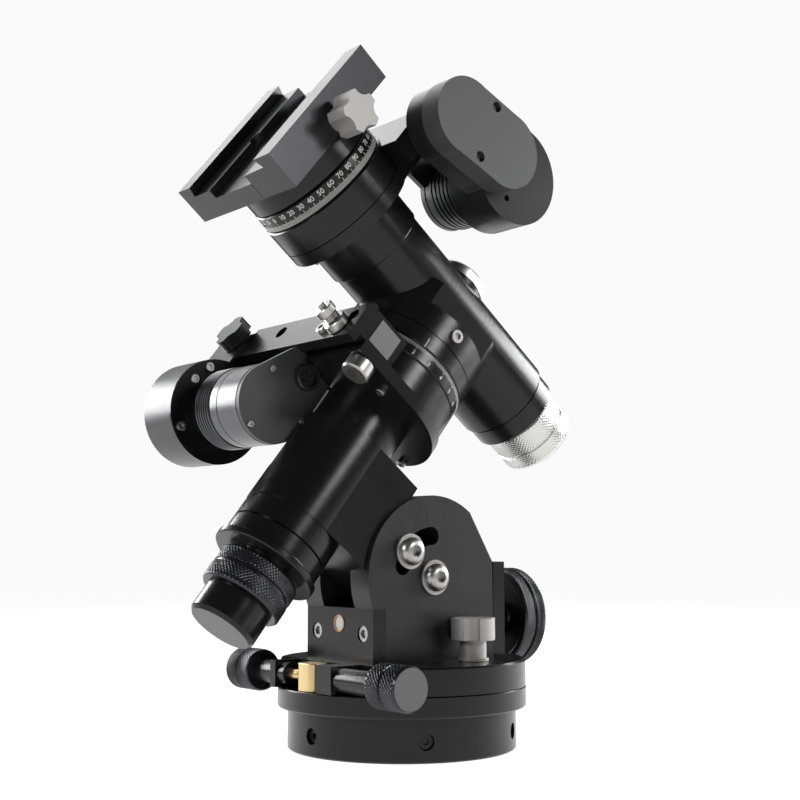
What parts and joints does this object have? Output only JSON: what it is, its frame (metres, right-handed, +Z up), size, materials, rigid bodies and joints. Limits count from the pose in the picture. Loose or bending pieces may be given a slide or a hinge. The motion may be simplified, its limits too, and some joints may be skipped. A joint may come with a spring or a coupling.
{
  "type": "equatorial mount",
  "caption": "Equatorial telescope mount head with azimuth and altitude adjusters, polar and declination axes, worm drives, setting circles and a dovetail saddle.",
  "frame": {"origin": "centre of the adapter ring's lower rim, on the azimuth axis", "axes": "+Z up along the azimuth axis, +Y towards the pole the polar axis points at (north), +X east"},
  "size_m": [0.216, 0.3063, 0.4515],
  "materials": {
    "satin_black": "black anodised, satin",
    "turned_black": "black anodised, lathe turned",
    "dial_black": "black with white engraved marks",
    "knob_black": "black knurled",
    "motor_grey": "dark turned",
    "knurled_silver": "diamond knurled",
    "cast_silver": "cast",
    "steel": "polished stainless",
    "brass": "machined",
    "drive_black": "matte black"
  },
  "bodies": {
    "base": {"adapter_ring": "satin_black", "base_flange": "satin_black", "base_screws": "steel", "azimuth_anchor": "brass"},
    "azimuth_frame": {"turn_disc": "satin_black", "adjuster_frame": "satin_black", "side_plate_west": "satin_black", "side_plate_east": "satin_black", "south_block": "satin_black", "north_plate": "satin_black", "frame_bolts": "steel", "altitude_bush": "brass"},
    "azimuth_screw_west": {"azimuth_screw_west": "knob_black"},
    "azimuth_screw_east": {"azimuth_screw_east": "knob_black"},
    "lock_knob_west": {"lock_knob_west": "cast_silver"},
    "lock_knob_east": {"lock_knob_east": "cast_silver"},
    "altitude_screw": {"altitude_screw": "steel", "altitude_knob": "knob_black"},
    "altitude_nut": {"altitude_nut": "brass"},
    "polar_housing": {"ra_housing": "satin_black", "ra_flange_plate": "turned_black", "ra_wheel_cover": "turned_black", "ra_lower_collar": "satin_black", "ra_bearings": "steel", "tilt_bolts": "steel", "ra_worm_housing": "satin_black", "ra_motor": "motor_grey", "ra_gear_case": "satin_black", "ra_gear_cover": "satin_black"},
    "ra_clutch_knob": {"ra_clutch_knob": "knob_black"},
    "polar_cover": {"polar_cover": "turned_black"},
    "ra_worm": {"ra_worm": "steel"},
    "ra_idler_gear": {"ra_idler_gear": "brass"},
    "ra_pinion": {"ra_pinion": "steel"},
    "ra_trim_knob": {"ra_trim_knob": "knob_black"},
    "ra_setting_circle": {"ra_setting_circle": "dial_black"},
    "ra_worm_wheel": {"ra_worm_wheel": "brass"},
    "head": {"ra_shaft": "steel", "ra_index_ring": "turned_black", "ra_head": "satin_black", "dec_housing": "satin_black", "dec_collar": "satin_black", "dec_wheel_cover": "turned_black", "dec_bearings": "steel", "dec_lower_collar": "satin_black", "ra_end_cap": "knurled_silver", "dec_worm_housing": "satin_black", "dec_motor": "drive_black", "dec_gear_case": "drive_black", "dec_gear_cover": "drive_black"},
    "dec_clutch_knob": {"dec_clutch_knob": "knurled_silver"},
    "dec_worm": {"dec_worm": "steel"},
    "dec_idler_gear": {"dec_idler_gear": "brass"},
    "dec_pinion": {"dec_pinion": "steel"},
    "dec_setting_circle": {"dec_setting_circle": "dial_black"},
    "dec_worm_wheel": {"dec_worm_wheel": "brass"},
    "saddle": {"dec_shaft": "steel", "saddle_body": "satin_black"},
    "saddle_jaw": {"saddle_jaw": "satin_black"},
    "saddle_clamp_knob": {"saddle_clamp_knob": "cast_silver"}
  },
  "joints": [
    {"name": "azimuth_turn", "type": "hinge", "parent": "base", "child": "azimuth_frame", "pos_m": [0, 0, 0.05], "axis": [0, 0, 1], "range_deg": [-2, 8]},
    {"name": "azimuth_screw_west_slide", "type": "slide", "parent": "azimuth_frame", "child": "azimuth_screw_west", "axis": [1, 0, 0], "range_m": [-0.0102, 0.0026]},
    {"name": "azimuth_screw_east_slide", "type": "slide", "parent": "azimuth_frame", "child": "azimuth_screw_east", "axis": [1, 0, 0], "range_m": [-0.0102, 0.0026]},
    {"name": "lock_knob_west_turn", "type": "hinge", "parent": "azimuth_frame", "child": "lock_knob_west", "pos_m": [-0.052, 0.018, 0.078], "axis": [0, 0, 1], "range_deg": [-90, 90]},
    {"name": "lock_knob_east_turn", "type": "hinge", "parent": "azimuth_frame", "child": "lock_knob_east", "pos_m": [0.052, 0.018, 0.078], "axis": [0, 0, 1], "range_deg": [-90, 90]},
    {"name": "altitude_screw_turn", "type": "hinge", "parent": "azimuth_frame", "child": "altitude_screw", "pos_m": [0, 0.09, 0.0827], "axis": [0, 1, 0], "continuous": true},
    {"name": "altitude_nut_slide", "type": "slide", "parent": "azimuth_frame", "child": "altitude_nut", "axis": [0, 1, 0], "range_m": [-0.0106, 0.0043]},
    {"name": "altitude_tilt", "type": "hinge", "parent": "azimuth_frame", "child": "polar_housing", "pos_m": [0, -0.0022, 0.1122], "axis": [1, 0, 0], "range_deg": [-20, 8]},
    {"name": "ra_clutch_turn", "type": "hinge", "parent": "head", "child": "ra_clutch_knob", "pos_m": [0, -0.12118, 0.10834], "axis": [0, 0.6293, 0.7771], "range_deg": [-90, 90]},
    {"name": "polar_cover_pull", "type": "slide", "parent": "ra_clutch_knob", "child": "polar_cover", "axis": [0, -0.6293, -0.7771], "range_m": [0, 0.02]},
    {"name": "ra_worm_turn", "type": "hinge", "parent": "polar_housing", "child": "ra_worm", "pos_m": [0, -0.06088, 0.26797], "axis": [1, 0, 0], "continuous": true},
    {"name": "ra_idler_turn", "type": "hinge", "parent": "polar_housing", "child": "ra_idler_gear", "pos_m": [-0.089, -0.07662, 0.24854], "axis": [1, 0, 0], "continuous": true},
    {"name": "ra_pinion_turn", "type": "hinge", "parent": "polar_housing", "child": "ra_pinion", "pos_m": [-0.089, -0.09235, 0.22911], "axis": [1, 0, 0], "continuous": true},
    {"name": "ra_trim_turn", "type": "hinge", "parent": "polar_housing", "child": "ra_trim_knob", "pos_m": [-0.093, -0.07829, 0.28207], "axis": [0, -0.7771, 0.6293], "range_deg": [-120, 120]},
    {"name": "ra_circle_turn", "type": "hinge", "parent": "polar_housing", "child": "ra_setting_circle", "pos_m": [0, -0.00885, 0.24706], "axis": [0, 0.6293, 0.7771], "continuous": true},
    {"name": "ra_wheel_turn", "type": "hinge", "parent": "polar_housing", "child": "ra_worm_wheel", "pos_m": [0, -0.01891, 0.23463], "axis": [0, 0.6293, 0.7771], "continuous": true},
    {"name": "ra_turn", "type": "hinge", "parent": "polar_housing", "child": "head", "pos_m": [0, 0.0286, 0.2933], "axis": [0, 0.6293, 0.7771], "continuous": true},
    {"name": "dec_clutch_turn", "type": "hinge", "parent": "saddle", "child": "dec_clutch_knob", "pos_m": [0, 0.1203, 0.21904], "axis": [0, -0.7771, 0.6293], "range_deg": [-90, 90]},
    {"name": "dec_worm_turn", "type": "hinge", "parent": "head", "child": "dec_worm", "pos_m": [0, -0.02621, 0.40485], "axis": [1, 0, 0], "continuous": true},
    {"name": "dec_idler_turn", "type": "hinge", "parent": "head", "child": "dec_idler_gear", "pos_m": [0.064, -0.00194, 0.39833], "axis": [1, 0, 0], "continuous": true},
    {"name": "dec_pinion_turn", "type": "hinge", "parent": "head", "child": "dec_pinion", "pos_m": [0.064, 0.02232, 0.3918], "axis": [1, 0, 0], "continuous": true},
    {"name": "dec_circle_turn", "type": "hinge", "parent": "head", "child": "dec_setting_circle", "pos_m": [0, -0.07398, 0.37637], "axis": [0, -0.7771, 0.6293], "continuous": true},
    {"name": "dec_wheel_turn", "type": "hinge", "parent": "head", "child": "dec_worm_wheel", "pos_m": [0, -0.06077, 0.36567], "axis": [0, -0.7771, 0.6293], "continuous": true},
    {"name": "dec_turn", "type": "hinge", "parent": "head", "child": "saddle", "pos_m": [0, 0.0286, 0.2933], "axis": [0, -0.7771, 0.6293], "continuous": true},
    {"name": "saddle_jaw_slide", "type": "slide", "parent": "saddle", "child": "saddle_jaw", "axis": [1, 0, 0], "range_m": [0, 0.008]},
    {"name": "saddle_clamp_turn", "type": "hinge", "parent": "saddle_jaw", "child": "saddle_clamp_knob", "pos_m": [0.067, -0.09298, 0.39819], "axis": [1, 0, 0], "continuous": true}
  ],
  "couplings": [
    {"joint": "azimuth_screw_west_slide", "follows": "azimuth_turn", "m_per_rad": -0.072},
    {"joint": "azimuth_screw_east_slide", "follows": "azimuth_turn", "m_per_rad": -0.072},
    {"joint": "altitude_nut_slide", "follows": "altitude_tilt", "m_per_rad": 0.0296},
    {"joint": "ra_idler_turn", "follows": "ra_worm_turn", "ratio": -1},
    {"joint": "ra_pinion_turn", "follows": "ra_worm_turn", "ratio": 1},
    {"joint": "ra_wheel_turn", "follows": "ra_worm_turn", "ratio": 0.0069444},
    {"joint": "dec_idler_turn", "follows": "dec_worm_turn", "ratio": -1},
    {"joint": "dec_pinion_turn", "follows": "dec_worm_turn", "ratio": 1},
    {"joint": "dec_wheel_turn", "follows": "dec_worm_turn", "ratio": 0.0069444}
  ]
}
